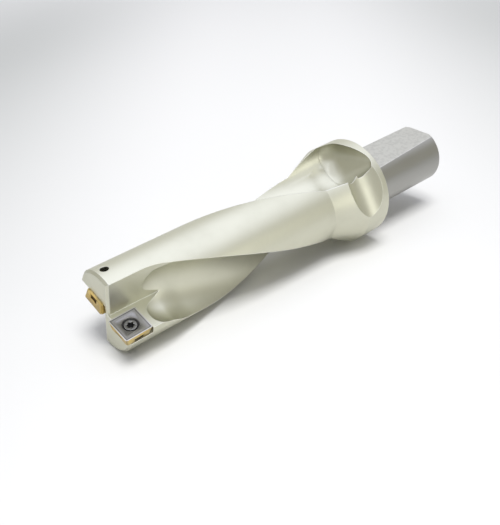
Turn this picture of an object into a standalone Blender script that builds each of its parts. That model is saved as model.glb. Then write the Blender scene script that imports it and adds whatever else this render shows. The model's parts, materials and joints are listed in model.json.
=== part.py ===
"""Indexable drill: a steel body with two chip flutes and two screwed-on square inserts.

The drill is modelled in its own frame, with the axis of rotation on Z, the tip at
z = 0 and the shank towards -Z. +X is the side of the outer insert and +Y is the way
its cutting face looks. An empty then lays the finished drill on its side, because a
drill like this rests on the rim of its flange and on the edge of its tip.

Lengths are metres. Angles about the axis are measured from +X towards +Y.
"""

import bpy
import bmesh
from math import asin, atan, ceil, cos, pi, radians, sin, sqrt, tan
from mathutils import Matrix, Vector

MM = 0.001

# Blank: what the lathe leaves before any milling
BODY_DIAMETER = 48.0 * MM
FLANGE_DIAMETER = 65.0 * MM
SHANK_DIAMETER = 40.0 * MM
BODY_LENGTH = 150.0 * MM
CONE_LENGTH = 22.0 * MM
RIM_LENGTH = 18.0 * MM
SHANK_LENGTH = 68.5 * MM
TIP_CHAMFER = 1.5 * MM
RIM_CHAMFER = 0.8 * MM
SHANK_CHAMFER = 1.6 * MM
CENTRE_HOLE_DIAMETER = 9.0 * MM
CENTRE_HOLE_ANGLE = radians(60.0)
PILOT_DIAMETER = 3.6 * MM
PILOT_LENGTH = 5.0 * MM

# Clamping flat on the shank, sloping towards the flange
FLAT_DIRECTION = radians(103.0)
FLAT_DEPTH_AT_END = 3.5 * MM
FLAT_SLOPE = radians(2.0)
FLAT_STOP = 1.0 * MM

# Helical chip flutes, two of them, half a turn apart
FLUTE_COUNT = 2
FLUTE_LEAD = 424.0 * MM
FLUTE_RADIUS = 18.7 * MM
FLUTE_OFFSET = 24.0 * MM
FLUTE_DIRECTION = radians(57.0)
FLUTE_START = 18.0 * MM
FLUTE_STRAIGHT_END = 28.0 * MM
FLUTE_ENTRY_LENGTH = 20.0 * MM
FLUTE_ENTRY_RADIUS = 10.0 * MM
FLUTE_ENTRY_OFFSET = 19.5 * MM
FLUTE_ENTRY_CURVE = 0.65
FLUTE_END = 164.0 * MM

# Relief pass that opens the end of each flute through the flange
RELIEF_RADIUS = 12.0 * MM
RELIEF_START = 121.5 * MM
RELIEF_START_OFFSET = 19.7 * MM
RELIEF_START_DIRECTION = radians(-33.6)
RELIEF_END = 171.0 * MM
RELIEF_END_OFFSET = 25.3 * MM
RELIEF_END_DIRECTION = radians(-66.0)

# Straight pass along the flange that carries the end of each flute out to the rim
EXIT_RADIUS = 8.0 * MM
EXIT_OFFSET = 32.5 * MM
EXIT_DIRECTION = radians(-107.5)
EXIT_START = 150.0 * MM
EXIT_END = 178.0 * MM

# End wall of each flute, common to the three passes
END_LEVEL = 174.0 * MM
END_SWELL = 0.12 * MM

# Cross pass that leaves a lens-shaped scoop in the flange beside each flute
SCOOP_RADIUS = 17.0 * MM
SCOOP_OFFSET = 43.0 * MM
SCOOP_PLACE = 172.0 * MM
SCOOP_DIRECTION = radians(45.0)
SCOOP_LENGTH = 90.0 * MM

# Gullets: straight cuts that clear the inserts at the tip
GULLET_LENGTH = 40.0 * MM
WALL_STRAIGHT = 20.0 * MM
WALL_BEND = 40.0 * MM
LEDGE_STRAIGHT = 22.0 * MM
LEDGE_BEND = 20.0 * MM
OUTER_WALL = 4.0 * MM
OUTER_LEDGE = 0.6 * MM
CENTRE_WALL = -0.9 * MM
CENTRE_LEDGE = -1.1 * MM
WALL_CHAMFER = 1.3 * MM

# Inserts: square, with slanted sides, a hole and a pressed chip breaker
INSERT_SIDE = 16.7 * MM
INSERT_THICKNESS = 5.56 * MM
INSERT_CORNER_RADIUS = 1.2 * MM
INSERT_CLEARANCE_ANGLE = radians(11.0)
EDGE_LAND = 0.5 * MM
BREAKER_WIDTH = 1.1 * MM
BREAKER_DEPTH = 0.35 * MM
NOTCH_WIDTH = 5.6 * MM
NOTCH_HEIGHT = 2.6 * MM
NOTCH_DEPTH = 0.8 * MM
HOLE_MOUTH_DIAMETER = 9.4 * MM
HOLE_DIAMETER = 5.2 * MM
HOLE_MOUTH_DEPTH = 2.2 * MM
HOLE_LIP = 0.5 * MM

OUTER_INSERT_EDGE = 24.35 * MM
OUTER_INSERT_FRONT = 2.4 * MM
OUTER_INSERT_HEIGHT = 2.0 * MM
OUTER_INSERT_TURN = radians(1.5)
CENTRE_INSERT_EDGE = 0.7 * MM
CENTRE_INSERT_FRONT = 2.4 * MM
CENTRE_INSERT_HEIGHT = 0.3 * MM
CENTRE_INSERT_TURN = 0.0

# Insert screws: countersunk, with a six-lobed socket
SCREW_HEAD_DIAMETER = 6.9 * MM
SCREW_HEAD_SINK = 1.0 * MM
SCREW_HEAD_CONE = 2.0 * MM
SCREW_HEAD_BAND = 0.5 * MM
SCREW_DIAMETER = 4.4 * MM
SCREW_LENGTH = 17.0 * MM
SCREW_TIP_CHAMFER = 0.6 * MM
SOCKET_RADIUS = 1.9 * MM
SOCKET_LOBE = 0.3 * MM
SOCKET_DEPTH = 1.7 * MM
SOCKET_LOBES = 6
SOCKET_STEPS = 48

# Fits and fineness
GAP = 0.3 * MM
CORNER_RELIEF_RADIUS = 1.1 * MM
TURNED_STEPS = 96
SMALL_STEPS = 32
HELIX_STEP = 6.0 * MM
ENTRY_STEPS = 10
BALL_STEPS = 10
GULLET_STEPS = 20
FLUTE_SIDES = 44
BEYOND = 8.0 * MM
MERGE = 0.00001
SHARP_ANGLE = radians(30.0)

# Pose: rolled about its axis until this direction of the tip points down
DOWN_DIRECTION = radians(286.875)

BODY_RADIUS = BODY_DIAMETER / 2
FLANGE_RADIUS = FLANGE_DIAMETER / 2
SHANK_RADIUS = SHANK_DIAMETER / 2
FLANGE_FRONT = BODY_LENGTH + CONE_LENGTH
FLANGE_BACK = FLANGE_FRONT + RIM_LENGTH
OVERALL_LENGTH = FLANGE_BACK + SHANK_LENGTH

parts = bpy.data.collections.new("indexable_drill")
cutters = bpy.data.collections.new("cutters")


def clear_scene():
    """Remove whatever the scene holds and add the two collections."""
    for old in list(bpy.data.objects):
        bpy.data.objects.remove(old, do_unlink=True)
    for collection in (parts, cutters):
        bpy.context.scene.collection.children.link(collection)


def make_material(name, colour, roughness, metallic):
    """Return a Principled BSDF material."""
    material = bpy.data.materials.new(name)
    material.use_nodes = True
    shader = material.node_tree.nodes["Principled BSDF"]
    shader.inputs["Base Color"].default_value = (*colour, 1.0)
    shader.inputs["Roughness"].default_value = roughness
    shader.inputs["Metallic"].default_value = metallic
    return material


def add_object(name, mesh, collection, parent):
    """Link a mesh as an object of a collection, carried by the drill's axis."""
    piece = bpy.data.objects.new(name, mesh)
    collection.objects.link(piece)
    piece.parent = parent
    if collection is cutters:
        piece.hide_render = True
        piece.display_type = "WIRE"
    return piece


def mesh_from(bm, name):
    """Turn a bmesh into a mesh with its faces pointing out."""
    bmesh.ops.recalc_face_normals(bm, faces=bm.faces)
    mesh = bpy.data.meshes.new(name)
    bm.to_mesh(mesh)
    bm.free()
    return mesh


def turned(name, profile, steps, collection, parent):
    """Turn a profile of (radius, z) points, top to bottom, about Z."""
    mesh = bpy.data.meshes.new(name)
    points = [(radius, 0.0, z) for radius, z in profile]
    edges = [(i, i + 1) for i in range(len(points) - 1)]
    mesh.from_pydata(points, edges, [])
    piece = add_object(name, mesh, collection, parent)
    lathe = piece.modifiers.new("turning", "SCREW")
    lathe.axis = "Z"
    lathe.angle = 2 * pi
    lathe.steps = steps
    lathe.render_steps = steps
    lathe.use_merge_vertices = True
    lathe.merge_threshold = MERGE
    return piece


def cut(piece, cutter):
    """Subtract a cutter from a piece."""
    boolean = piece.modifiers.new("cut_" + cutter.name, "BOOLEAN")
    boolean.operation = "DIFFERENCE"
    boolean.solver = "EXACT"
    boolean.object = cutter


def polar(offset, direction, z):
    """Point at a distance from the axis, in a direction, at a height."""
    return Vector((offset * cos(direction), offset * sin(direction), z))


def block(name, low, high, parent, turn=Matrix()):
    """Box cutter between two corners, then placed by a matrix."""
    bm = bmesh.new()
    bmesh.ops.create_cube(bm, size=1.0)
    size = Vector(high) - Vector(low)
    middle = (Vector(high) + Vector(low)) / 2
    bmesh.ops.scale(bm, vec=size, verts=bm.verts)
    bmesh.ops.translate(bm, vec=middle, verts=bm.verts)
    bmesh.ops.transform(bm, matrix=turn, verts=bm.verts)
    return add_object(name, mesh_from(bm, name), cutters, parent)


def rod(name, radius, start, end, steps, parent, round_end=False):
    """Cylinder cutter from one point to another, with a ball on its far end if asked."""
    way = Vector(end) - Vector(start)
    turn = way.to_track_quat("Z", "Y").to_matrix().to_4x4()
    length = way.length
    rings = steps // 4
    profile = [(0.0, length), (radius, length)]
    if round_end:
        angles = [pi / 2 * (1 - i / rings) for i in range(rings + 1)]
        profile = [(radius * cos(a), length + radius * sin(a)) for a in angles]
    profile[0] = (0.0, profile[0][1])
    profile += [(radius, 0.0), (0.0, 0.0)]
    piece = turned(name, profile, steps, cutters, parent)
    piece.matrix_basis = Matrix.Translation(start) @ turn
    return piece


def make_blank(axis):
    """The turned body, flange and shank in one profile, tip first."""
    cone_depth = (CENTRE_HOLE_DIAMETER - PILOT_DIAMETER) / 2 / tan(CENTRE_HOLE_ANGLE / 2)
    pilot_radius = PILOT_DIAMETER / 2
    hole_end = -OVERALL_LENGTH + cone_depth + PILOT_LENGTH
    profile = [
        (0.0, 0.0),
        (BODY_RADIUS - TIP_CHAMFER, 0.0),
        (BODY_RADIUS, -TIP_CHAMFER),
        (BODY_RADIUS, -BODY_LENGTH),
        (FLANGE_RADIUS, -FLANGE_FRONT),
        (FLANGE_RADIUS, -FLANGE_BACK + RIM_CHAMFER),
        (FLANGE_RADIUS - RIM_CHAMFER, -FLANGE_BACK),
        (SHANK_RADIUS, -FLANGE_BACK),
        (SHANK_RADIUS, -OVERALL_LENGTH + SHANK_CHAMFER),
        (SHANK_RADIUS - SHANK_CHAMFER, -OVERALL_LENGTH),
        (CENTRE_HOLE_DIAMETER / 2, -OVERALL_LENGTH),
        (pilot_radius, -OVERALL_LENGTH + cone_depth),
        (pilot_radius, hole_end),
        (0.0, hole_end + pilot_radius * tan(CENTRE_HOLE_ANGLE / 2)),
    ]
    return turned("drill_body", profile, TURNED_STEPS, parts, axis)


def flute_direction(depth):
    """Direction of the flute at a depth below the tip."""
    followed = min(max(depth, FLUTE_STRAIGHT_END), FLUTE_END)
    return FLUTE_DIRECTION - 2 * pi * followed / FLUTE_LEAD


def flute_stations():
    """Depth, offset and radius of the flute cutter along its path, rounded at both ends."""
    stations = []
    for i in range(ENTRY_STEPS):
        share = (i / ENTRY_STEPS) ** 2
        offset_share = share * share * (3 - 2 * share)
        offset = FLUTE_ENTRY_OFFSET + (FLUTE_OFFSET - FLUTE_ENTRY_OFFSET) * offset_share
        growth = (FLUTE_RADIUS - FLUTE_ENTRY_RADIUS) * share**FLUTE_ENTRY_CURVE
        stations.append((FLUTE_START + FLUTE_ENTRY_LENGTH * share, offset, FLUTE_ENTRY_RADIUS + growth))
    first = FLUTE_START + FLUTE_ENTRY_LENGTH
    count = ceil((FLUTE_END - first) / HELIX_STEP)
    for i in range(count):
        stations.append((first + (FLUTE_END - first) * i / count, FLUTE_OFFSET, FLUTE_RADIUS))
    for i in range(BALL_STEPS):
        angle = pi / 2 * i / BALL_STEPS
        stations.append((FLUTE_END + FLUTE_RADIUS * sin(angle), FLUTE_OFFSET, FLUTE_RADIUS * cos(angle)))
    return stations


def loft(name, rings, parent):
    """Cutter whose skin joins equal rings of points one to the next, closed at both ends."""
    bm = bmesh.new()
    hoops = [[bm.verts.new(point) for point in ring] for ring in rings]
    for hoop, after in zip(hoops, hoops[1:]):
        for i in range(len(hoop)):
            j = (i + 1) % len(hoop)
            bm.faces.new((hoop[i], hoop[j], after[j], after[i]))
    bm.faces.new(hoops[0])
    bm.faces.new(hoops[-1])
    return add_object(name, mesh_from(bm, name), cutters, parent)


def make_flute_cutter(axis):
    """Round cutter carried along a helix."""
    rings = []
    for depth, offset, radius in flute_stations():
        centre = polar(offset, flute_direction(depth), -depth)
        turns = [2 * pi * i / FLUTE_SIDES for i in range(FLUTE_SIDES)]
        rings.append([centre + polar(radius, turn, 0.0) for turn in turns])
    return loft("flute_cutter_1", rings, axis)


def make_relief_cutter(axis):
    """Ball-ended pass that leaves the flute through the flange."""
    start = polar(RELIEF_START_OFFSET, RELIEF_START_DIRECTION, -RELIEF_START)
    end = polar(RELIEF_END_OFFSET, RELIEF_END_DIRECTION, -RELIEF_END)
    return rod("relief_cutter_1", RELIEF_RADIUS, start, end, SMALL_STEPS, axis, True)


def make_exit_cutter(axis):
    """Ball-ended pass beside the drill's axis that grooves the cone and the flange."""
    start = polar(EXIT_OFFSET, EXIT_DIRECTION, -EXIT_START)
    end = polar(EXIT_OFFSET, EXIT_DIRECTION, -EXIT_END)
    return rod("exit_cutter_1", EXIT_RADIUS, start, end, SMALL_STEPS, axis, True)


def make_end_cutter(axis):
    """Skin stretched over the tips of the three balls, so that the flute ends in one wall."""
    balls = (
        (FLUTE_RADIUS, polar(FLUTE_OFFSET, flute_direction(FLUTE_END), -FLUTE_END)),
        (RELIEF_RADIUS, polar(RELIEF_END_OFFSET, RELIEF_END_DIRECTION, -RELIEF_END)),
        (EXIT_RADIUS, polar(EXIT_OFFSET, EXIT_DIRECTION, -EXIT_END)),
    )
    bm = bmesh.new()
    for ball_radius, centre in balls:
        radius = ball_radius + END_SWELL
        start = asin((END_LEVEL + centre.z) / radius)
        for i in range(BALL_STEPS + 1):
            tilt = start + (pi / 2 - start) * i / BALL_STEPS
            for j in range(SMALL_STEPS):
                point = polar(radius * cos(tilt), 2 * pi * j / SMALL_STEPS, -radius * sin(tilt))
                bm.verts.new(centre + point)
    bmesh.ops.remove_doubles(bm, verts=bm.verts, dist=MERGE)
    hull = bmesh.ops.convex_hull(bm, input=bm.verts)
    inner = {v for v in hull["geom_interior"] if isinstance(v, bmesh.types.BMVert)}
    bmesh.ops.delete(bm, geom=list(inner), context="VERTS")
    return add_object("end_cutter_1", mesh_from(bm, "end_cutter"), cutters, axis)


def make_scoop_cutter(axis):
    """Cylinder across the drill's axis that grazes the flange."""
    middle = polar(SCOOP_OFFSET, SCOOP_DIRECTION + pi, -SCOOP_PLACE)
    along = polar(SCOOP_LENGTH / 2, SCOOP_DIRECTION + pi / 2, 0.0)
    return rod("scoop_cutter_1", SCOOP_RADIUS, middle - along, middle + along, TURNED_STEPS, axis)


def half_turn_copies(first):
    """The cutter and its copies, spaced evenly about the drill's axis."""
    copies = [first]
    for i in range(1, FLUTE_COUNT):
        copy = first.copy()
        copy.name = first.name[:-1] + str(i + 1)
        copy.matrix_basis = Matrix.Rotation(2 * pi * i / FLUTE_COUNT, 4, "Z") @ first.matrix_basis
        cutters.objects.link(copy)
        copies.append(copy)
    return copies


def make_gullet_cutter(name, wall, ledge, axis, turn):
    """Corner cut: beyond the wall and above the ledge, both bending away into the flute."""
    reach = BODY_RADIUS + BEYOND
    place = Matrix.Rotation(turn, 3, "Z")
    rings = []
    for i in range(-1, GULLET_STEPS + 1):
        z = BEYOND if i < 0 else -GULLET_LENGTH * i / GULLET_STEPS
        side = wall + max(-z - WALL_STRAIGHT, 0.0) ** 2 / WALL_BEND / 2
        floor = ledge + max(-z - LEDGE_STRAIGHT, 0.0) ** 2 / LEDGE_BEND / 2
        corners = ((side, floor, z), (reach, floor, z), (reach, reach, z), (side, reach, z))
        rings.append([place @ Vector(corner) for corner in corners])
    return loft(name, rings, axis)


def make_wall_chamfer_cutter(axis):
    """Square bar on its edge that bevels the tip beside the outer gullet."""
    side = WALL_CHAMFER / sqrt(2)
    place = Matrix.Translation((OUTER_WALL, 0.0, 0.0)) @ Matrix.Rotation(pi / 4, 4, "Y")
    reach = BODY_RADIUS + BEYOND
    return block("wall_chamfer_cutter", (-side, OUTER_LEDGE, -side), (side, reach, side), axis, place)


def make_flat_cutter(axis):
    """Wedge that leaves the sloping clamping flat on the shank."""
    end = -OVERALL_LENGTH
    low = Vector((SHANK_RADIUS - FLAT_DEPTH_AT_END, -SHANK_DIAMETER, end - BEYOND))
    high = Vector((SHANK_DIAMETER, SHANK_DIAMETER, -FLANGE_BACK - FLAT_STOP))
    bm = bmesh.new()
    bmesh.ops.create_cube(bm, size=1.0)
    bmesh.ops.scale(bm, vec=high - low, verts=bm.verts)
    bmesh.ops.translate(bm, vec=(high + low) / 2, verts=bm.verts)
    for corner in bm.verts:
        if corner.co.x < SHANK_RADIUS:
            corner.co.x -= (corner.co.z - end) * tan(FLAT_SLOPE)
    bmesh.ops.transform(bm, matrix=Matrix.Rotation(FLAT_DIRECTION, 4, "Z"), verts=bm.verts)
    return add_object("flat_cutter", mesh_from(bm, "flat_cutter"), cutters, axis)


def insert_place(edge, front, height, turn, side):
    """Matrix from an insert's own frame to the drill's.

    In its own frame an insert lies flat: its cutting face is the plane z = 0, looking
    up, its working edge is at +Y, and the side next to the drill's axis is at +X.
    """
    half = INSERT_SIDE / 2
    stand = Matrix(((-1, 0, 0, 0), (0, 0, 1, 0), (0, 1, 0, 0), (0, 0, 0, 1)))
    middle = Matrix.Translation((edge - half, height, front - half))
    return Matrix.Rotation(side, 4, "Z") @ middle @ Matrix.Rotation(turn, 4, "Y") @ stand


def tapered_block(name, upper, lower, top, foot, corner, collection, axis):
    """Square block with slanted sides and rounded upright edges."""
    bm = bmesh.new()
    bmesh.ops.create_cube(bm, size=2.0)
    for vertex in bm.verts:
        at_top = vertex.co.z > 0
        half = upper if at_top else lower
        vertex.co.x *= half
        vertex.co.y *= half
        vertex.co.z = top if at_top else foot
    upright = [e for e in bm.edges if abs(e.verts[0].co.z - e.verts[1].co.z) > MERGE]
    bmesh.ops.bevel(bm, geom=upright, offset=corner, segments=4, profile=0.5, affect="EDGES")
    return add_object(name, mesh_from(bm, name), collection, axis)


def make_insert(name, place, axis):
    """Square insert: a tapered block with rounded corners, a chip breaker, notches and a hole."""
    half = INSERT_SIDE / 2
    foot = half - INSERT_THICKNESS * tan(INSERT_CLEARANCE_ANGLE)
    insert = tapered_block(
        name, half, foot, 0.0, -INSERT_THICKNESS, INSERT_CORNER_RADIUS, parts, axis
    )
    insert.matrix_basis = place
    rim = half - EDGE_LAND
    breaker = tapered_block(
        name + "_breaker_cutter",
        rim + BREAKER_WIDTH,
        rim - BREAKER_WIDTH,
        BREAKER_DEPTH,
        -BREAKER_DEPTH,
        INSERT_CORNER_RADIUS,
        cutters,
        axis,
    )
    breaker.matrix_basis = place
    cut(insert, breaker)
    lip = -BREAKER_DEPTH - HOLE_LIP
    profile = [
        (0.0, BEYOND),
        (HOLE_MOUTH_DIAMETER / 2, BEYOND),
        (HOLE_MOUTH_DIAMETER / 2, lip),
        (HOLE_DIAMETER / 2, lip - HOLE_MOUTH_DEPTH),
        (HOLE_DIAMETER / 2, -INSERT_THICKNESS - BEYOND),
        (0.0, -INSERT_THICKNESS - BEYOND),
    ]
    hole = turned(name + "_hole_cutter", profile, SMALL_STEPS, cutters, axis)
    hole.matrix_basis = place
    cut(insert, hole)
    depth = foot + INSERT_THICKNESS * tan(INSERT_CLEARANCE_ANGLE) / 2 - NOTCH_DEPTH
    low = (depth, -NOTCH_WIDTH / 2, -INSERT_THICKNESS - BEYOND)
    high = (half + BEYOND, NOTCH_WIDTH / 2, -INSERT_THICKNESS + NOTCH_HEIGHT)
    for i in range(4):
        turn = Matrix.Rotation(i * pi / 2, 4, "Z")
        cut(insert, block(name + "_notch_cutter_" + str(i + 1), low, high, axis, place @ turn))
    return insert


def make_pocket_cutters(name, place, axis):
    """Room for an insert in the body, with a round relief in its blind corner."""
    wall = INSERT_SIDE / 2 + GAP
    floor = -INSERT_THICKNESS - GAP
    reach = INSERT_SIDE
    pocket = block(name + "_pocket_cutter", (-reach, -wall, floor), (wall, reach, reach), axis, place)
    relief = rod(
        name + "_relief_cutter",
        CORNER_RELIEF_RADIUS,
        (wall - CORNER_RELIEF_RADIUS / 2, -wall + CORNER_RELIEF_RADIUS / 2, floor),
        (wall - CORNER_RELIEF_RADIUS / 2, -wall + CORNER_RELIEF_RADIUS / 2, reach),
        SMALL_STEPS,
        axis,
    )
    relief.matrix_basis = place @ relief.matrix_basis
    bore = rod(
        name + "_bore_cutter",
        SCREW_DIAMETER / 2 + GAP,
        (0.0, 0.0, -BODY_DIAMETER),
        (0.0, 0.0, 0.0),
        SMALL_STEPS,
        axis,
    )
    bore.matrix_basis = place @ bore.matrix_basis
    return [pocket, relief, bore]


def make_screw(name, place, axis):
    """Countersunk screw with a six-lobed socket, in the frame of its insert."""
    head = -SCREW_HEAD_SINK
    head_radius = SCREW_HEAD_DIAMETER / 2
    shank_radius = SCREW_DIAMETER / 2
    cone = head - SCREW_HEAD_BAND - SCREW_HEAD_CONE
    end = head - SCREW_LENGTH
    screw = turned(
        name,
        [
            (0.0, head),
            (head_radius, head),
            (head_radius, head - SCREW_HEAD_BAND),
            (shank_radius, cone),
            (shank_radius, end + SCREW_TIP_CHAMFER),
            (shank_radius - SCREW_TIP_CHAMFER, end),
            (0.0, end),
        ],
        SMALL_STEPS,
        parts,
        axis,
    )
    screw.matrix_basis = place
    bm = bmesh.new()
    outline = []
    for i in range(SOCKET_STEPS):
        angle = 2 * pi * i / SOCKET_STEPS
        radius = SOCKET_RADIUS + SOCKET_LOBE * cos(SOCKET_LOBES * angle)
        outline.append(bm.verts.new(polar(radius, angle, head - SOCKET_DEPTH)))
    floor = bm.faces.new(outline)
    lift = bmesh.ops.extrude_face_region(bm, geom=[floor])
    raised = [v for v in lift["geom"] if isinstance(v, bmesh.types.BMVert)]
    bmesh.ops.translate(bm, vec=(0.0, 0.0, SOCKET_DEPTH + BEYOND), verts=raised)
    socket = add_object(name + "_socket_cutter", mesh_from(bm, name), cutters, axis)
    socket.matrix_basis = place
    cut(screw, socket)
    return screw


def finish(piece, material):
    """Keep a piece as its cuts leave it, shaded smooth up to its edges."""
    bpy.context.view_layer.update()
    evaluated = piece.evaluated_get(bpy.context.evaluated_depsgraph_get())
    mesh = bpy.data.meshes.new_from_object(evaluated)
    piece.modifiers.clear()
    piece.data = mesh
    mesh.materials.clear()
    mesh.materials.append(material)
    mesh.shade_smooth()
    mesh.set_sharp_from_angle(angle=SHARP_ANGLE)


def resting_tilt(body):
    """Slope of the axis when the drill lies on its tip and on the rim of its flange."""
    down = polar(1.0, DOWN_DIRECTION, 0.0)
    points = [(vertex.co.z, vertex.co.dot(down)) for vertex in body.data.vertices]
    tip_z, tip_depth = max((p for p in points if p[0] > -FLUTE_START), key=lambda p: p[1])
    return max(atan((depth - tip_depth) / (tip_z - z)) for z, depth in points if z < -BODY_LENGTH)


def lay_down(axis, pieces):
    """Roll the drill, lay it with its tip towards -X, and set it on the floor about the origin."""
    body = pieces[0]
    roll = Matrix.Rotation(pi - DOWN_DIRECTION, 4, "Z")
    axis.matrix_world = Matrix.Rotation(-pi / 2 - resting_tilt(body), 4, "Y") @ roll
    bpy.context.view_layer.update()
    points = [piece.matrix_world @ vertex.co for piece in pieces for vertex in piece.data.vertices]
    low = [min(point[i] for point in points) for i in range(3)]
    high = [max(point[i] for point in points) for i in range(3)]
    axis.location = (-(low[0] + high[0]) / 2, -(low[1] + high[1]) / 2, -low[2])


def build():
    """Make every piece of the drill."""
    clear_scene()
    nickel = make_material("satin_nickel", (0.72, 0.71, 0.64), 0.38, 1.0)
    coating = make_material("insert_coating", (0.36, 0.33, 0.30), 0.42, 1.0)
    blackened = make_material("blackened_steel", (0.11, 0.11, 0.11), 0.45, 1.0)
    axis = bpy.data.objects.new("drill_axis", None)
    parts.objects.link(axis)
    body = make_blank(axis)
    passes = (
        make_flute_cutter,
        make_relief_cutter,
        make_exit_cutter,
        make_end_cutter,
        make_scoop_cutter,
    )
    for make_cutter in passes:
        for cutter in half_turn_copies(make_cutter(axis)):
            cut(body, cutter)
    cut(body, make_gullet_cutter("outer_gullet_cutter", OUTER_WALL, OUTER_LEDGE, axis, 0.0))
    cut(body, make_gullet_cutter("centre_gullet_cutter", CENTRE_WALL, CENTRE_LEDGE, axis, pi))
    cut(body, make_wall_chamfer_cutter(axis))
    cut(body, make_flat_cutter(axis))
    outer = insert_place(
        OUTER_INSERT_EDGE, OUTER_INSERT_FRONT, OUTER_INSERT_HEIGHT, OUTER_INSERT_TURN, 0.0
    )
    centre = insert_place(
        INSERT_SIDE - CENTRE_INSERT_EDGE,
        CENTRE_INSERT_FRONT,
        CENTRE_INSERT_HEIGHT,
        CENTRE_INSERT_TURN,
        pi,
    )
    pieces = [body]
    for side, place in (("outer", outer), ("centre", centre)):
        for cutter in make_pocket_cutters(side, place, axis):
            cut(body, cutter)
        insert = make_insert(side + "_insert", place, axis)
        screw = make_screw(side + "_insert_screw", place, axis)
        finish(insert, coating)
        finish(screw, blackened)
        pieces += [insert, screw]
    finish(body, nickel)
    lay_down(axis, pieces)


build()
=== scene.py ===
# %% [markdown]
# # An indexable drill in a pale studio
# The drill is a turned and milled steel body with two inserts held by screws at its tip.
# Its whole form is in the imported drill, so this notebook loads that as it is and gives it
# its looks: a body whose shading follows the true cylinders and helices instead of the
# flat facets, satin nickel, coated inserts, blackened screws, a white table, soft light
# and a camera.

import json
from math import atan2, cos, pi, radians, sin

import bmesh
import bpy
import numpy as np
from mathutils import Matrix, Vector


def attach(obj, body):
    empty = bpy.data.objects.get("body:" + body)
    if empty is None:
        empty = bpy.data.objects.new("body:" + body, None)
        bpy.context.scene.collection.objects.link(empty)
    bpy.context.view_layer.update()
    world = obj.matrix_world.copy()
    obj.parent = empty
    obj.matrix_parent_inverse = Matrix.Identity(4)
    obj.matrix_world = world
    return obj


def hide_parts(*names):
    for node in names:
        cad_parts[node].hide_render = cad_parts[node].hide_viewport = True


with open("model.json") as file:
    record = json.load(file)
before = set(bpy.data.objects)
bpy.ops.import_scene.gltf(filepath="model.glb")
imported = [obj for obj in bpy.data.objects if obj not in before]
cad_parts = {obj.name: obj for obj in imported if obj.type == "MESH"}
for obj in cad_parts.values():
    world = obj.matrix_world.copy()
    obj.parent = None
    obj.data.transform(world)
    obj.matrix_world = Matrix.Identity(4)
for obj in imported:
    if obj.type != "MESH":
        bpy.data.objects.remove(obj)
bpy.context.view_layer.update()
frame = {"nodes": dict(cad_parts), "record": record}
nodes = frame["nodes"]
print("nodes:", sorted(nodes))

# %% [markdown]
# ## The drill's own frame
# The drill lies on its side, so its axis isn't one of the scene's. Everything about its
# form is easier to say in a frame where the tip is at the origin and the axis is Z. The
# matrix below goes from that frame to the scene. The mount on the shank's end gives the
# slope of the axis, and the roll and the place of the tip are how the drill was laid down.

# %% Find the axis
MM = 0.001
TIP = Vector((-0.128247, 0.0, 0.023889))
LAID_AT = 286.875
ROLL = radians(180.0 - LAID_AT)

mounts = {mount["name"]: mount for mount in frame["record"]["mounts"]}
towards_shank = Vector(mounts["shank_end"]["axis"])
tilt = atan2(towards_shank.z, towards_shank.x)
lie = Matrix.Translation(TIP) @ Matrix.Rotation(-pi / 2 - tilt, 4, "Y") @ Matrix.Rotation(ROLL, 4, "Z")
stand = lie.inverted()
print("the axis slopes", round(tilt * 180 / pi, 2), "degrees")

# %% [markdown]
# ## Surfaces as functions
# Each surface of the drill is the place where a function of a point is zero, and the
# gradient of that function is the exact normal there. All of them take an array of
# points in millimetres in the drill's frame and give an array of distances, which are
# negative inside the steel. The first ones are what a lathe leaves. The profile goes
# from the tip to the bottom of the centre hole as pairs of a radius and a height.

# %% Turned surfaces
TURNED_PROFILE = (
    (0.0, 0.0),
    (22.5, 0.0),
    (24.0, -1.5),
    (24.0, -150.0),
    (32.5, -172.0),
    (32.5, -189.2),
    (31.7, -190.0),
    (20.0, -190.0),
    (20.0, -256.9),
    (18.4, -258.5),
    (4.5, -258.5),
    (1.8, -253.823),
)


def turned_band(start, end):
    """Distance beyond the cone swept by a line from start to end, given as (radius, height):
    the step from start to a point's own (radius, height), measured along the line's normal."""
    along = np.subtract(end, start)
    outward = np.array((-along[1], along[0])) / np.hypot(*along)

    def distance(points):
        radius = np.hypot(points[:, 0], points[:, 1])
        return (radius - start[0]) * outward[0] + (points[:, 2] - start[1]) * outward[1]

    return distance


turned = [turned_band(a, b) for a, b in zip(TURNED_PROFILE, TURNED_PROFILE[1:])]
print("turned bands:", len(turned))

# %% [markdown]
# ## Flutes
# A flute carries the chips out of the hole. It is a circle carried down the drill while
# it turns about the axis. Near the tip the circle grows from small to full, and at the
# far end it closes like a ball. A cutter's function is its radius less the distance from
# its middle line, so steel begins where that is zero.

# %% Flutes
FLUTE_START = 18.0
FLUTE_ENTRY = 20.0
FLUTE_STRAIGHT_END = 28.0
FLUTE_END = 164.0
FLUTE_LEAD = 424.0
FLUTE_DIRECTION = radians(57.0)
ENTRY_OFFSET = 19.5
FULL_OFFSET = 24.0
ENTRY_RADIUS = 10.0
FULL_RADIUS = 18.7
ENTRY_CURVE = 0.65


def flute(points):
    """Room left inside the flute's circle at each point's height. Over the entry the circle's
    offset grows as a smooth step, 3 s^2 - 2 s^3, and its radius as a power of the share s.
    The circle has turned by a full turn for each lead of depth."""
    depth = -points[:, 2]
    share = np.clip((depth - FLUTE_START) / FLUTE_ENTRY, 0.0, 1.0)
    offset = ENTRY_OFFSET + (FULL_OFFSET - ENTRY_OFFSET) * share**2 * (3 - 2 * share)
    radius = ENTRY_RADIUS + (FULL_RADIUS - ENTRY_RADIUS) * share**ENTRY_CURVE
    turn = FLUTE_DIRECTION - 2 * pi * np.clip(depth, FLUTE_STRAIGHT_END, FLUTE_END) / FLUTE_LEAD
    across = np.hypot(points[:, 0] - offset * np.cos(turn), points[:, 1] - offset * np.sin(turn))
    return radius - np.hypot(across, np.maximum(depth - FLUTE_END, 0.0))


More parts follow.
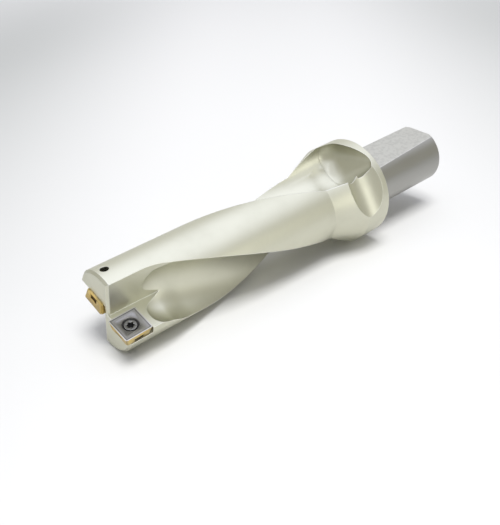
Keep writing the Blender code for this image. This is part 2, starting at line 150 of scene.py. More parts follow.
web = -float(flute(np.array([[0.0, 0.0, -90.0]]))[0])
print("steel between the axis and a flute:", round(web, 2), "mm")

# %% [markdown]
# Three more passes of a ball-ended cutter open each flute at the flange: a relief beside
# it, a small way out over the flange's side, and a scoop across the cone. A straight pass
# is a bar with round ends, given by its radius and its two ends, and each end is an
# offset from the axis, a direction in degrees and a height.

# %% Straight passes


def bar(radius, start, end):
    """Room left inside a bar: its radius less the distance to the nearest point of the line
    between its ends, where that point's share of the way is kept between 0 and 1."""
    ends = [np.array((r * cos(radians(a)), r * sin(radians(a)), z)) for r, a, z in (start, end)]
    along = ends[1] - ends[0]

    def distance(points):
        share = np.clip((points - ends[0]) @ along / (along @ along), 0.0, 1.0)
        return radius - np.linalg.norm(points - ends[0] - share[:, None] * along, axis=1)

    return distance


relief = bar(12.0, (19.7, -33.6, -121.5), (25.3, -66.0, -171.0))
way_out = bar(8.0, (32.5, -107.5, -150.0), (32.5, -107.5, -178.0))
scoop = bar(17.0, (62.24, 178.7, -172.0), (62.24, -88.7, -172.0))
print("room at the end of the relief:", round(float(relief(np.array([[25.3, 0.0, -171.0]]))[0]), 2), "mm")

# %% [markdown]
# The flute ends in a skin stretched over the tips of three balls. For a direction n, the
# furthest such a skin reaches is the furthest that any of its balls does, and a point is
# as deep inside as the smallest of those reaches less its own. Of each ball only the cap
# below 174 mm counts. A soft minimum over many directions keeps the skin smooth.

# %% End wall of a flute
END_BALLS = (
    (18.82, 24.0, -82.24, -164.0),
    (12.12, 25.3, -66.0, -171.0),
    (8.12, 32.5, -107.5, -178.0),
)
END_LEVEL = -174.0
SOFTNESS = 40.0
SOFT_GAP = 0.08
FAR_OFF = -100.0
WAYS = 2500
POINTS_AT_ONCE = 500


def even_directions(count):
    """Unit vectors spread evenly over the lower half of a ball, along a spiral whose height
    falls in equal steps while it turns by the golden angle."""
    z = -(np.arange(count) + 0.5) / count
    turn = np.arange(count) * pi * (3 - 5**0.5)
    flat = np.sqrt(1 - z * z)
    return np.stack((flat * np.cos(turn), flat * np.sin(turn), z), axis=1)


def cap_reach(radius, offset, degrees, height, ways):
    """Furthest reach, in each direction, of a ball's part below the end level: the middle's
    reach plus the radius, or the cut rim's reach where the ball's own point is cut off."""
    x, y = offset * cos(radians(degrees)), offset * sin(radians(degrees))
    cap = END_LEVEL - height
    flat = np.hypot(ways[:, 0], ways[:, 1])
    on_ball = ways @ (x, y, height) + radius
    on_rim = ways @ (x, y, END_LEVEL) + flat * (radius**2 - cap**2) ** 0.5
    return np.where(ways[:, 2] * radius <= cap, on_ball, on_rim)


ways = even_directions(WAYS)
reach = np.max([cap_reach(*ball, ways) for ball in END_BALLS], axis=0)


def end_wall(points):
    """Room left inside the skin: the soft minimum, over all directions, of the skin's reach
    less the point's. A soft minimum lies slightly low, which the last term makes up for."""
    room = np.full(len(points), FAR_OFF)
    near = np.flatnonzero(points[:, 2] < END_LEVEL + 1.0)
    for some in np.array_split(near, max(len(near) // POINTS_AT_ONCE, 1)):
        spare = reach - points[some] @ ways.T
        least = spare.min(axis=1, keepdims=True)
        room[some] = least[:, 0] - np.log(np.exp(SOFTNESS * (least - spare)).sum(axis=1)) / SOFTNESS
    return room + SOFT_GAP * (room > FAR_OFF + 1.0)


print("directions of the end wall:", len(ways))

# %% [markdown]
# ## Gullets
# In front of each insert the tip is cut away to make room for the chip. A gullet is two
# flat cuts that meet in a corner: a wall, and the ledge that the insert lies in. Further
# back each of them bends away along a parabola until it has left the steel. The two
# sides of the drill are alike but for where these cuts lie, so a surface is half turned
# by turning the points instead.

# %% Gullets
WALL_STRAIGHT = 20.0
WALL_BEND = 40.0
LEDGE_STRAIGHT = 22.0
LEDGE_BEND = 20.0


def bent_face(axis, place, straight, bend):
    """Height above a face that looks along X (axis 0) or Y (axis 1): the coordinate, less the
    face's place, less the square of the depth below the straight part over twice the bend."""
    return lambda points: (
        points[:, axis] - place - np.maximum(-points[:, 2] - straight, 0.0) ** 2 / (2 * bend)
    )


def wall(place):
    """A gullet's wall."""
    return bent_face(0, place, WALL_STRAIGHT, WALL_BEND)


def ledge(place):
    """A gullet's ledge."""
    return bent_face(1, place, LEDGE_STRAIGHT, LEDGE_BEND)


def half_turned(distance):
    """The same surface on the other side of the drill."""
    return lambda points: distance(points * (-1.0, -1.0, 1.0))


gullets = [wall(4.0), ledge(0.6), half_turned(wall(-0.9)), half_turned(ledge(-1.1))]
print("gullet faces:", len(gullets))

# %% [markdown]
# All the surfaces go into one list. A second list says which flute a surface is a cut of,
# 0 or 1, or -1 for none. The cuts of one flute run softly into each other, so their
# shading is blended later. The scoop keeps its edge, so it counts as no flute's.

# %% List of surfaces
NO_FLUTE = -1

flute_cuts = [flute, relief, way_out, end_wall]
one_side = flute_cuts + [scoop]
surfaces = turned + one_side + [half_turned(cut) for cut in one_side] + gullets
sides = [NO_FLUTE] * len(turned)
for side in (0, 1):
    sides += [side] * len(flute_cuts) + [NO_FLUTE]
flute_side = np.array(sides + [NO_FLUTE] * len(gullets))
print("surfaces:", len(surfaces))

# %% [markdown]
# ## A body that shades smoothly
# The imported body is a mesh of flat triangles. Subdividing it would move its surface, and
# plain smooth shading smears light round its edges. Instead each triangle is matched with
# the surface that its corners and its middle lie on and that faces its way, and its
# corners take the exact normals of that surface. Reflections then run smoothly over the
# facets and break only where two cuts meet, while the form stays as it is.

# %% Match triangles with surfaces
MATCH = 0.2
MATCH_MIDDLE = 0.4
LIKENESS = 0.8
STEP = 0.05
TINY = 1e-9


def unit(vectors):
    """Vectors divided by their lengths."""
    return vectors / np.maximum(np.linalg.norm(vectors, axis=-1, keepdims=True), TINY)


def gradient(distance, points):
    """Unit normals of a surface by central differences."""
    slopes = np.empty_like(points)
    for axis in range(3):
        shift = np.zeros(3)
        shift[axis] = STEP
        slopes[:, axis] = distance(points + shift) - distance(points - shift)
    return unit(slopes)


def read_mesh(mesh):
    """Points, corner indices, face normals and areas of a triangle mesh, in the drill's frame
    and in millimetres. A face's normal is the cross product of two of its sides."""
    points = np.empty(len(mesh.vertices) * 3)
    mesh.vertices.foreach_get("co", points)
    points = points.reshape(-1, 3) @ np.array(stand.to_3x3()).T + np.array(stand.translation)
    points /= MM
    corners = np.empty(len(mesh.loops), int)
    mesh.loops.foreach_get("vertex_index", corners)
    corners = corners.reshape(-1, 3)
    p = points[corners]
    normals = np.cross(p[:, 1] - p[:, 0], p[:, 2] - p[:, 0])
    return points, corners, unit(normals), np.linalg.norm(normals, axis=1)


def match(points, corners, facing):
    """Number of each triangle's surface, or -1. The best surface has the largest cosine
    between its normal and the triangle's, less how far off it the worst corner lies."""
    middles = points[corners].mean(axis=1)
    best = np.full(len(corners), LIKENESS)
    chosen = np.full(len(corners), -1)
    for number, distance in enumerate(surfaces):
        off = np.abs(distance(points))[corners].max(axis=1)
        score = (gradient(distance, middles) * facing).sum(axis=1) - off
        better = (off < MATCH) & (np.abs(distance(middles)) < MATCH_MIDDLE) & (score > best)
        best[better] = score[better]
        chosen[better] = number
    print("matched", (chosen >= 0).sum(), "of", len(chosen), "triangles")
    return chosen


print("a corner may be off its surface by", MATCH, "mm")

# %% [markdown]
# Two kinds of corner need more than that. Where the cuts of one flute meet at a low
# angle, their normals are averaged, so the crease between them shades softly. And a
# triangle that matches no surface, such as one on the flat, in a pocket or in a bore,
# takes an average of its unmatched neighbours that face its way.

# %% Corner normals
BLEND_ANGLE = radians(35.0)
NEIGHBOUR_ANGLE = radians(30.0)


def blend_creases(normals, corners, side, count):
    """Replace normals by the mean, at each point, of one flute's, where that is close to them."""
    mine = side >= 0
    key = corners[mine] * 2 + side[mine][:, None]
    total = np.zeros((count * 2, 3))
    np.add.at(total, key, normals[mine])
    mean = unit(total[key])
    close = (mean * normals[mine]).sum(axis=2) > cos(BLEND_ANGLE)
    normals[mine] = np.where(close[:, :, None], mean, normals[mine])


def average_rest(normals, corners, facing, areas, left):
    """For each corner of the triangles left, the sum of its like-minded neighbours' normals
    times their areas, made a unit vector."""
    around = {}
    for face in left:
        for corner in corners[face]:
            around.setdefault(corner, []).append(face)
    for face in left:
        for place, corner in enumerate(corners[face]):
            near = np.array(around[corner])
            near = near[facing[near] @ facing[face] > cos(NEIGHBOUR_ANGLE)]
            total = (facing[near] * areas[near, None]).sum(axis=0) + facing[face] * 1e-6
            normals[face, place] = total / np.linalg.norm(total)


def smooth_normals(mesh):
    """A normal for every corner of every triangle, in the scene's frame."""
    points, corners, facing, areas = read_mesh(mesh)
    chosen = match(points, corners, facing)
    normals = np.repeat(facing[:, None, :], 3, axis=1)
    for number, distance in enumerate(surfaces):
        mine = chosen == number
        flat = points[corners[mine]].reshape(-1, 3)
        normals[mine] = gradient(distance, flat).reshape(-1, 3, 3)
    side = np.where(chosen < 0, NO_FLUTE, flute_side[chosen])
    blend_creases(normals, corners, side, len(points))
    average_rest(normals, corners, facing, areas, np.flatnonzero(chosen < 0))
    return normals @ np.array(lie.to_3x3()).T


print("creases blend up to", round(BLEND_ANGLE * 180 / pi), "degrees")

# %% [markdown]
# ## The body
# A imported mesh has separate corners for each triangle, so nothing on it could shade
# smoothly. A copy with its seams merged takes the node's place: it rides on the drill and
# is the piece that is shown, while the node is hidden.

# %% Build the body
MERGE = 2e-6


def smooth_copy(node, name):
    """A merged copy of a CAD node, on its own mesh, shown in the node's place while the node is hidden.
    """
    mesh = nodes[node].data.copy()
    bm = bmesh.new()
    bm.from_mesh(mesh)
    bmesh.ops.remove_doubles(bm, verts=bm.verts, dist=MERGE)
    bmesh.ops.triangulate(bm, faces=bm.faces)
    bm.to_mesh(mesh)
    bm.free()
    mesh.name = name
    mesh.materials.clear()
    copy = bpy.data.objects.new(name, mesh)
    bpy.context.scene.collection.objects.link(copy)
    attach(copy, "root")
    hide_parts(node)
    return copy


body = smooth_copy("drill_body", "body_smooth")
body.data.shade_smooth()
corner_normals = smooth_normals(body.data)
body.data.normals_split_custom_set(corner_normals.reshape(-1, 3).tolist())
print(body.name, len(body.data.polygons), "triangles")

# %% [markdown]
# ## Places to hang patterns on
# A pattern needs coordinates that fit the piece. The body's run from the tip along the
# axis. An insert's start in the middle of its cutting face, with Z out of the face. Each
# of these frames is a matrix, and a Mapping node moves Object coordinates into it.

# %% Frames for patterns
INSERT_SIDE = 16.7
INSERT_FRONT = 2.4
INSERT_UP = Matrix(((-1, 0, 0, 0), (0, 0, 1, 0), (0, 1, 0, 0), (0, 0, 0, 1)))


def insert_place(edge, height, turn, side):
    """Matrix from an insert's own frame, in metres, to the scene."""
    half = INSERT_SIDE / 2
    middle = Matrix.Translation(Vector((edge - half, height, INSERT_FRONT - half)) * MM)
    return lie @ Matrix.Rotation(side, 4, "Z") @ middle @ Matrix.Rotation(turn, 4, "Y") @ INSERT_UP


outer_place = insert_place(24.35, 2.0, radians(1.5), 0.0)
centre_place = insert_place(16.0, 0.3, 0.0, pi)
print("outer insert's face looks along", [round(c, 2) for c in outer_place.col[2][:3]])

# %% [markdown]
# ## Small tools for node trees
# A shader is a tree of nodes joined by links. `add_node` makes a node, sets its options
# and fills its inputs with either a value or a link from another node's output. The
# others are short names for the nodes that the materials use most.

# %% Node tools


def add_node(tree, kind, inputs=(), **options):
    """Add a shader node; inputs maps an input's name or number to a value or a socket."""
    made = tree.nodes.new("ShaderNode" + kind)
    for name, value in options.items():
        setattr(made, name, value)
    for key, value in dict(inputs).items():
        if isinstance(value, bpy.types.NodeSocket):
            tree.links.new(value, made.inputs[key])
        else:
            made.inputs[key].default_value = value
    return made


def maths(tree, operation, *values):
    """Output of a Math node."""
    return add_node(tree, "Math", enumerate(values), operation=operation).outputs[0]


def both(tree, first, second):
    """A mask that is 1 where both of two masks are: their product."""
    return maths(tree, "MULTIPLY", first, second)


def ramp(tree, value, low, high):
    """Output of a smooth step from 0 to 1 as the value goes from low to high."""
    inputs = {"Value": value, "From Min": low, "From Max": high}
    return add_node(tree, "MapRange", inputs, interpolation_type="SMOOTHSTEP").outputs[0]


def mix(tree, share, first, second):
    """Output of a colour mix."""
    return add_node(tree, "Mix", {0: share, 6: first, 7: second}, data_type="RGBA").outputs[2]


def dot(tree, first, second):
    """Scalar product of two vectors: the sum of the products of their parts."""
    node = add_node(tree, "VectorMath", {0: first, 1: second}, operation="DOT_PRODUCT")
    return node.outputs["Value"]


def length(tree, vector):
    """Length of a vector."""
    return add_node(tree, "VectorMath", {0: vector}, operation="LENGTH").outputs["Value"]


def from_axis(tree, where):
    """Distance from the Z axis of the frame that the coordinates are in."""
    flat = add_node(tree, "VectorMath", {0: where, 1: (1.0, 1.0, 0.0)}, operation="MULTIPLY")
    return length(tree, flat.outputs[0])


def noise(tree, where, scale, detail):
    """Value of a noise texture."""
    inputs = {"Vector": where, "Scale": scale, "Detail": detail}
    return add_node(tree, "TexNoise", inputs).outputs["Fac"]


def new_group(name, inputs, outputs):
    """A node group with named inputs, each with its kind and value, and named outputs."""
    group = bpy.data.node_groups.new(name, "ShaderNodeTree")
    for title, kind, value in inputs:
        socket = group.interface.new_socket(title, in_out="INPUT", socket_type="NodeSocket" + kind)
        if value is not None:
            socket.default_value = value
    for title, kind in outputs:
        group.interface.new_socket(title, in_out="OUTPUT", socket_type="NodeSocket" + kind)
    start = group.nodes.new("NodeGroupInput")
    end = group.nodes.new("NodeGroupOutput")
    return group, start.outputs, end.inputs


print("node tools are ready")

# %% [markdown]
# ## Metal surface
# Blasted and plated steel isn't quite even. One group makes its small life: fine grain
# as a bump and in the roughness, a slow cloudiness, and a mask of the outer edges, along
# which the materials paint a highlight. A Bevel node bends the normal near an edge, so an
# edge catches light as a rounded one would, and the more it bends the nearer the edge is.
# The group is made once, and each material places it with its own values.

# %% Group for satin metal
CLOUD_SCALE = 45.0
CLOUD_SWING = 0.14
GRAIN_SWING = 0.08
EDGE_BEND = (0.995, 0.9)


def make_metal_group():
    """Grain, cloudiness, rounded edges and an edge mask. The roughness is the given one plus
    each noise's swing times how far that noise is above its middle."""
    group, given, result = new_group(
        "satin_metal",
        (
            ("Vector", "Vector", None),
            ("Roughness", "Float", 0.4),
            ("Grain Scale", "Float", 3500.0),
            ("Grain Depth", "Float", 0.00001),
            ("Edge Radius", "Float", 0.0003),
        ),
        (("Roughness", "Float"), ("Clouds", "Float"), ("Edge", "Float"), ("Normal", "Vector")),
    )
    grain = noise(group, given["Vector"], given["Grain Scale"], 3.0)
    clouds = add_node(
        group,
        "TexNoise",
        {"Vector": given["Vector"], "Scale": CLOUD_SCALE, "Detail": 4.0, "Roughness": 0.6},
    ).outputs["Fac"]
    rounded = add_node(group, "Bevel", {"Radius": given["Edge Radius"]}, samples=6).outputs[0]
    bend = dot(group, rounded, add_node(group, "NewGeometry").outputs["Normal"])
    bump = add_node(
        group,
        "Bump",
        {"Height": grain, "Distance": given["Grain Depth"], "Strength": 1.0, "Normal": rounded},
    )
    uneven = maths(group, "MULTIPLY_ADD", clouds, CLOUD_SWING, -CLOUD_SWING / 2)
    speckle = maths(group, "MULTIPLY_ADD", grain, GRAIN_SWING, -GRAIN_SWING / 2)
    total = maths(group, "ADD", maths(group, "ADD", given["Roughness"], uneven), speckle)
    group.links.new(total, result["Roughness"])
    group.links.new(clouds, result["Clouds"])
    group.links.new(ramp(group, bend, *EDGE_BEND), result["Edge"])
    group.links.new(bump.outputs[0], result["Normal"])
    return group


metal_group = make_metal_group()
print("group:", metal_group.name)

# %% [markdown]
# Every metal of the drill starts alike: coordinates in the piece's frame go into the
# group, and the group's roughness and normal go into the shader. What differs is the
# colour, which each material adds for itself.

# %% Start of a material


def start_material(name, place, roughness, grain_scale, grain_depth, edge_radius):
    """A material with the metal group in it; returns its tree, shader, group and coordinates."""
    material = bpy.data.materials.new(name)
    material.use_nodes = True
    tree = material.node_tree
    shader = tree.nodes["Principled BSDF"]
    there = place.inverted()
    where = add_node(
        tree,
        "Mapping",
        {
            "Vector": add_node(tree, "TexCoord").outputs["Object"],
            "Location": there.translation,
            "Rotation": there.to_euler(),
        },
    ).outputs[0]
    given = {
        "Vector": where,
        "Roughness": roughness,
        "Grain Scale": grain_scale,
        "Grain Depth": grain_depth,
        "Edge Radius": edge_radius,
    }
    metal = add_node(tree, "Group", given, node_tree=metal_group)
    tree.links.new(metal.outputs["Roughness"], shader.inputs["Roughness"])
    tree.links.new(metal.outputs["Normal"], shader.inputs["Normal"])
    return material, tree, shader, metal.outputs, where


print("metals share", len(metal_group.interface.items_tree), "sockets")

# %% [markdown]
# ## Nickel and the ground shank
# The body is satin nickel, slightly warm. The shank behind the flange is ground, so it is
# greyer there, and fine lines run round it. The height and the distance from the axis
# tell the two apart. The clamping flat was milled, which left it lighter and a little
# mottled: it is all that lies on the flat's sloping plane or beyond it.

# %% Nickel material
NICKEL = (0.60, 0.595, 0.488, 1.0)
NICKEL_CLOUD = (0.56, 0.555, 0.453, 1.0)
GROUND_STEEL = (0.38, 0.375, 0.35, 1.0)
GROUND_LINES = (0.34, 0.335, 0.315, 1.0)
MILLED_STEEL = (0.53, 0.525, 0.485, 1.0)
MILLED_SPOTS = (0.47, 0.465, 0.43, 1.0)
EDGE_PAINTED_HIGHLIGHT = (0.92, 0.92, 0.88, 1.0)
FLAT_SLOPE = 0.0349
FLAT_TOWARDS = (cos(radians(103.0)), sin(radians(103.0)), FLAT_SLOPE)
FLAT_PLACE = 16.5 * MM - 258.5 * MM * FLAT_SLOPE
BELOW_FLAT = (0.2 * MM, 0.1 * MM)
BEHIND_FLANGE = (-189.5 * MM, -190.5 * MM)
INSIDE_SHANK = (20.6 * MM, 20.3 * MM)
LINE_SCALE = 9000.0
SPOT_SCALE = 420.0


def make_ground_steel(tree, where, height):
    """Colour of the shank: fine lines round it, and the mottled flat."""
    lines = add_node(
        tree, "TexNoise", {"Scale": LINE_SCALE, "Detail": 2.0, "W": height}, noise_dimensions="1D"
    ).outputs["Fac"]
    ground = mix(tree, lines, GROUND_STEEL, GROUND_LINES)
    spots = noise(tree, where, SPOT_SCALE, 3.0)
    milled = mix(tree, ramp(tree, spots, 0.42, 0.62), MILLED_STEEL, MILLED_SPOTS)
    below_flat = maths(tree, "SUBTRACT", FLAT_PLACE, dot(tree, where, FLAT_TOWARDS))
    return mix(tree, ramp(tree, below_flat, *BELOW_FLAT), ground, milled)


def make_nickel():
    """Satin nickel, with a ground steel shank behind the flange and a painted highlight along its edges.
    """
    material, tree, shader, metal, where = start_material(
        "satin_nickel", lie, 0.42, 3200.0, 0.000006, 0.0005
    )
    height = add_node(tree, "SeparateXYZ", {0: where}).outputs["Z"]
    behind = ramp(tree, height, *BEHIND_FLANGE)
    shank = both(tree, behind, ramp(tree, from_axis(tree, where), *INSIDE_SHANK))
    colour = mix(tree, ramp(tree, metal["Clouds"], 0.4, 0.8), NICKEL, NICKEL_CLOUD)
    colour = mix(tree, shank, colour, make_ground_steel(tree, where, height))
    # Painted highlight: the edges are painted lighter along the edge mask.
    colour = mix(tree, maths(tree, "MULTIPLY", metal["Edge"], 0.7), colour, EDGE_PAINTED_HIGHLIGHT)
    tree.links.new(colour, shader.inputs["Base Color"])
    shader.inputs["Metallic"].default_value = 1.0
    rough = maths(tree, "MULTIPLY_ADD", shank, -0.08, metal["Roughness"])
    tree.links.new(rough, shader.inputs["Roughness"])
    return material


body.data.materials.append(make_nickel())
print("body material:", body.data.materials[0].name)

# %% [markdown]
# ## Inserts
# A coated insert is two-coloured: the cutting face was rubbed smooth and is grey, and
# the flanks keep the gold of the coating. In the insert's frame the face is Z = 0 and
# the flanks lean in, so a sum of the larger of |x| and |y| and a share of the depth is
# the same all over a flank. Where that sum is less, below the face, is a notch, which is
# painted dark brown as painted shade. The rim of the face gets a painted highlight, the
# groove inside it painted shade, and the edges a painted highlight too.

# %% Insert material
GOLD = (0.50, 0.355, 0.11, 1.0)
PALE_GOLD = (0.52, 0.43, 0.20, 1.0)
NOTCH_PAINTED_SHADE = (0.07, 0.045, 0.015, 1.0)
FACE_GREY = (0.31, 0.305, 0.298, 1.0)
FACE_SPECKLE = (0.255, 0.25, 0.245, 1.0)
RIM_PAINTED_HIGHLIGHT = (0.54, 0.53, 0.51, 1.0)
GROOVE_PAINTED_SHADE = (0.13, 0.127, 0.125, 1.0)
LEAN = 0.1944
HALF = INSERT_SIDE / 2 * MM
ON_FLANK = (HALF - 0.25 * MM, HALF - 0.15 * MM)
IN_NOTCH = (HALF - 0.2 * MM, HALF - 0.4 * MM)
RIM_HIGHLIGHT_SPAN = (HALF - 0.65 * MM, HALF - 0.45 * MM)
GROOVE_INNER = (HALF - 1.25 * MM, HALF - 1.0 * MM)
GROOVE_OUTER = (HALF - 0.6 * MM, HALF - 0.8 * MM)
UNDER_EDGE = (-0.03 * MM, -0.1 * MM)
UNDER_FACE = (-0.45 * MM, -0.55 * MM)
OVER_FOOT = (-5.5 * MM, -5.4 * MM)
PAST_HOLE = (5.0 * MM, 5.2 * MM)


def insert_masks(tree, where):
    """Masks of an insert's flanks, notches, rim and groove."""
    split = add_node(tree, "SeparateXYZ", {0: where}).outputs
    sizes = [maths(tree, "ABSOLUTE", split[name]) for name in "XY"]
    reach = maths(tree, "MAXIMUM", *sizes)
    leaning = maths(tree, "MULTIPLY_ADD", split["Z"], -LEAN, reach)
    under_face = ramp(tree, split["Z"], *UNDER_FACE)
    deep = both(tree, under_face, ramp(tree, from_axis(tree, where), *PAST_HOLE))
    flank = both(tree, ramp(tree, leaning, *ON_FLANK), ramp(tree, split["Z"], *UNDER_EDGE))
    flank = maths(tree, "MAXIMUM", flank, deep)
    notch = both(tree, deep, ramp(tree, split["Z"], *OVER_FOOT))
    notch = both(tree, ramp(tree, leaning, *IN_NOTCH), notch)
    groove = both(tree, ramp(tree, reach, *GROOVE_INNER), ramp(tree, reach, *GROOVE_OUTER))
    return flank, notch, ramp(tree, reach, *RIM_HIGHLIGHT_SPAN), groove


def make_insert_material(name, place):
    """Grey cutting face with a painted highlight on the rim and painted shade in the groove, gold flanks
    with painted shade in the notches, and a painted highlight on the edges.
    """
    material, tree, shader, metal, where = start_material(
        name, place, 0.38, 5200.0, 0.000004, 0.00015
    )
    flank, notch, rim, groove = insert_masks(tree, where)
    speckle = ramp(tree, noise(tree, where, 2600.0, 2.0), 0.45, 0.6)
    face = mix(tree, speckle, FACE_GREY, FACE_SPECKLE)
    # Painted shade: the groove is painted dark.
    face = mix(tree, groove, face, GROOVE_PAINTED_SHADE)
    # Painted highlight: the rim of the face is painted lighter.
    face = mix(tree, rim, face, RIM_PAINTED_HIGHLIGHT)
    gold = mix(tree, ramp(tree, metal["Clouds"], 0.35, 0.7), GOLD, PALE_GOLD)
    colour = mix(tree, flank, face, gold)
    # Painted highlight: the edges are painted lighter along the edge mask.
    colour = mix(tree, maths(tree, "MULTIPLY", metal["Edge"], 0.5), colour, RIM_PAINTED_HIGHLIGHT)
    # Painted shade: the notches are painted dark brown.
    colour = mix(tree, notch, colour, NOTCH_PAINTED_SHADE)
    tree.links.new(colour, shader.inputs["Base Color"])
    shader.inputs["Metallic"].default_value = 0.85
    return material


for node, place in (("outer_insert", outer_place), ("centre_insert", centre_place)):
    insert = smooth_copy(node, node + "_smooth")
    insert.data.materials.append(make_insert_material(node + "_coating", place))
    insert.data.shade_smooth()
    insert.data.set_sharp_from_angle(angle=radians(25.0))
    print(insert.name, len(insert.data.polygons), "triangles")

# %% [markdown]
# ## Screws
# The screws are blackened. On the rim of the head and of the socket the edge mask lets
# lighter steel show through: partly the oxide worn thin, partly a painted highlight. A
# screw shares its insert's frame, where the socket is a small circle below the top of the
# head. Little light gets into it, so it is painted as the darkest place: painted shade.

# %% Screw material
OXIDE_BLACK = (0.15, 0.15, 0.15, 1.0)
OXIDE_GREY = (0.24, 0.237, 0.23, 1.0)
BARE_STEEL_AND_HIGHLIGHT = (0.75, 0.74, 0.70, 1.0)
SOCKET_PAINTED_SHADE = (0.012, 0.012, 0.012, 1.0)
IN_SOCKET = (2.3 * MM, 2.25 * MM)
BELOW_HEAD = (-1.05 * MM, -1.15 * MM)


def make_black(name, place):
    """Black oxide, with bare steel and a painted highlight at the edges and painted shade in the socket.
    """
    material, tree, shader, metal, where = start_material(
        name, place, 0.34, 6000.0, 0.000003, 0.00018
    )
    dark = mix(tree, metal["Clouds"], OXIDE_BLACK, OXIDE_GREY)
    # Wear and painted highlight: the edges are painted lighter along the edge mask.
    worn_and_highlit = mix(tree, maths(tree, "MULTIPLY", metal["Edge"], 0.6), dark, BARE_STEEL_AND_HIGHLIGHT)
    height = add_node(tree, "SeparateXYZ", {0: where}).outputs["Z"]
    inside = ramp(tree, from_axis(tree, where), *IN_SOCKET)
    socket = both(tree, inside, ramp(tree, height, *BELOW_HEAD))
    # Painted shade: the socket is painted nearly black.
    colour = mix(tree, socket, worn_and_highlit, SOCKET_PAINTED_SHADE)
    tree.links.new(colour, shader.inputs["Base Color"])
    shader.inputs["Metallic"].default_value = 1.0
    return material


for side, place in (("outer", outer_place), ("centre", centre_place)):
    node = side + "_insert_screw"
    screw = smooth_copy(node, node + "_smooth")
    screw.data.materials.append(make_black(side + "_black_oxide", place))
    screw.data.shade_smooth()
    screw.data.set_sharp_from_angle(angle=radians(28.0))
    print(screw.name, len(screw.data.polygons), "triangles")

# %% [markdown]
# ## Table
# The drill lies on a plain white table with painted shade that makes it slightly greyer
# close by on the left and the right. The table is one large face, since only its colour and
# the shadow on it are seen. It is stage: it isn't part of the object.

# %% Table
FLOOR_WHITE = (0.76, 0.757, 0.74, 1.0)
FLOOR_SIDES_PAINTED_SHADE = (0.49, 0.497, 0.48, 1.0)
FLOOR_ACROSS = (0.766, -0.643, 0.0)
SIDES_FROM = (0.06, 0.40)
WHITE_AGAIN = (0.6, 1.5)
TABLE_FRONT = 0.5
TABLE_SIZE = 8.0


def make_table_white():
    """Matt white, with painted shade to both sides of the line of sight that fades out far away."""
    material = bpy.data.materials.new("matt_white")
    material.use_nodes = True
    tree = material.node_tree
    shader = tree.nodes["Principled BSDF"]
    where = add_node(tree, "TexCoord").outputs["Object"]
    aside = maths(tree, "ABSOLUTE", dot(tree, where, FLOOR_ACROSS))
    # Painted shade: greyer to both sides of the line of sight.
    colour = mix(tree, ramp(tree, aside, *SIDES_FROM), FLOOR_WHITE, FLOOR_SIDES_PAINTED_SHADE)
    colour = mix(tree, ramp(tree, length(tree, where), *WHITE_AGAIN), colour, FLOOR_WHITE)
    tree.links.new(colour, shader.inputs["Base Color"])
    shader.inputs["Roughness"].default_value = 0.8
    shader.inputs["Specular IOR Level"].default_value = 0.2
    return material


def make_table():
    """A flat top with its front edge close by."""
    half = TABLE_SIZE / 2
    near = -TABLE_FRONT
    mesh = bpy.data.meshes.new("table")
    corners = [(-half, near, 0.0), (half, near, 0.0), (half, half, 0.0), (-half, half, 0.0)]
    mesh.from_pydata(corners, [], [(0, 1, 2, 3)])
    mesh.materials.append(make_table_white())
    table = bpy.data.objects.new("table", mesh)
    bpy.context.scene.collection.objects.link(table)
    return table


table = make_table()
print("table:", [round(c, 2) for c in table.dimensions])

# %% [markdown]
# ## Light
# Metal shows what is round it, so most of the look of the drill is in this room: a wide
# bright ceiling, grey walls that are lighter at the back on the right, and one window low
# down on the left of the camera. The room is written into the world by direction: Z is
# the sine of the height above the horizon, and the product with a fixed direction tells
# how near to that one a ray goes. The window lights the scene and shows in the metal, but
# the camera doesn't see it straight on. Matt surfaces, of which the table is the largest,
# take only part of the room's light, so the lamp's shadow on the table stays clear.

# %% World
CEILING = (1.64, 1.68, 1.90, 1.0)
WALLS = (0.54, 0.53, 0.46, 1.0)
BACK_WALL = (0.84, 0.84, 0.80, 1.0)
WINDOW = (2.3, 2.3, 2.2, 1.0)
BACK_TOWARDS = (0.7071, 0.7071, 0.0)
WINDOW_TOWARDS = (0.1699, -0.9633, 0.2079)
BACK_FROM = (0.2, 0.9)
CEILING_FROM = (0.40, 0.90)
WINDOW_FROM = (0.935, 0.98)
TABLE_LOSES = 0.5


def make_world():
    """A room with a bright ceiling, grey walls and a window."""
    world = bpy.data.worlds.new("white_room")
    bpy.context.scene.world = world
    world.use_nodes = True
    tree = world.node_tree
    way = add_node(tree, "TexCoord").outputs["Generated"]
    height = add_node(tree, "SeparateXYZ", {0: way}).outputs["Z"]
    ray = add_node(tree, "LightPath").outputs
    colour = mix(tree, ramp(tree, dot(tree, way, BACK_TOWARDS), *BACK_FROM), WALLS, BACK_WALL)
    colour = mix(tree, ramp(tree, height, *CEILING_FROM), colour, CEILING)
    unseen = maths(tree, "SUBTRACT", 1.0, ray["Is Camera Ray"])
    glow = both(tree, unseen, ramp(tree, dot(tree, way, WINDOW_TOWARDS), *WINDOW_FROM))
    colour = mix(tree, glow, colour, WINDOW)
    strength = maths(tree, "MULTIPLY_ADD", ray["Is Diffuse Ray"], -TABLE_LOSES, 1.0)
    background = tree.nodes["Background"]
    tree.links.new(colour, background.inputs["Color"])
    tree.links.new(strength, background.inputs["Strength"])
    return world


print("world:", make_world().name)

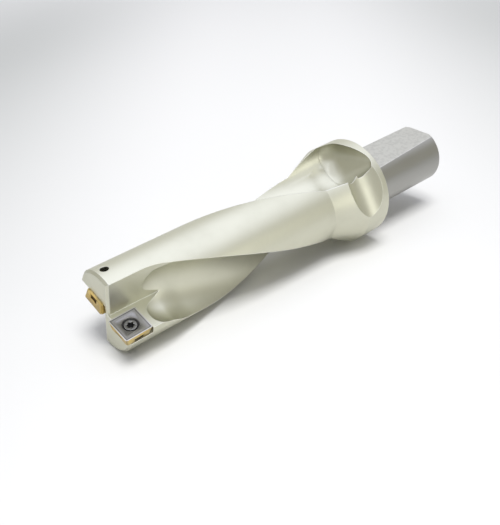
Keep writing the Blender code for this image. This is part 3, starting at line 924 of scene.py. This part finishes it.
# %% [markdown]
# One large lamp above the front gives the shadow that the drill casts on the table. A
# large lamp makes a soft shadow, and a high one keeps it short. The metal doesn't mirror
# it, because it already mirrors the ceiling.

# %% Lamp
LAMP_PLACE = (-0.1, -0.5, 2.15)
LAMP_TARGET = (0.0, 0.0, 0.0)
LAMP_SIZE = 0.9
LAMP_POWER = 38.0


def make_lamp():
    """A square area lamp turned towards its target."""
    data = bpy.data.lights.new("key_lamp", "AREA")
    data.size = LAMP_SIZE
    data.energy = LAMP_POWER
    lamp = bpy.data.objects.new("key_lamp", data)
    bpy.context.scene.collection.objects.link(lamp)
    lamp.location = LAMP_PLACE
    down = Vector(LAMP_TARGET) - Vector(LAMP_PLACE)
    lamp.rotation_euler = down.to_track_quat("-Z", "Y").to_euler()
    lamp.visible_glossy = False
    return lamp


print("lamp:", make_lamp().data.energy, "W")

# %% [markdown]
# ## Camera
# The camera stands in front of the tip, to the left, and looks down at 30 degrees. Its
# place and its three directions were worked out from the outline of the drill. A camera
# looks along its own -Z with +Y up, so two of the directions change sign.

# %% Camera
CAMERA_PLACE = (-0.25530, -0.28953, 0.23176)
CAMERA_RIGHT = (0.76525, -0.64132, -0.05570)
CAMERA_DOWN = (-0.35749, -0.35142, -0.86528)
CAMERA_FORWARD = (0.53535, 0.68206, -0.49819)
SENSOR_WIDTH = 36.0
LENS = 48.0
RISE = -12.5 / 525


def make_camera():
    """A camera from its place and its directions."""
    data = bpy.data.cameras.new("camera")
    data.sensor_width = SENSOR_WIDTH
    data.lens = LENS
    data.shift_y = RISE
    camera = bpy.data.objects.new("camera", data)
    bpy.context.scene.collection.objects.link(camera)
    turn = Matrix((CAMERA_RIGHT, -Vector(CAMERA_DOWN), -Vector(CAMERA_FORWARD))).transposed()
    camera.matrix_world = Matrix.Translation(CAMERA_PLACE) @ turn.to_4x4()
    bpy.context.scene.camera = camera
    return camera


print("camera:", make_camera().data.lens, "mm lens")
bpy.context.scene.view_settings.view_transform = "Standard"
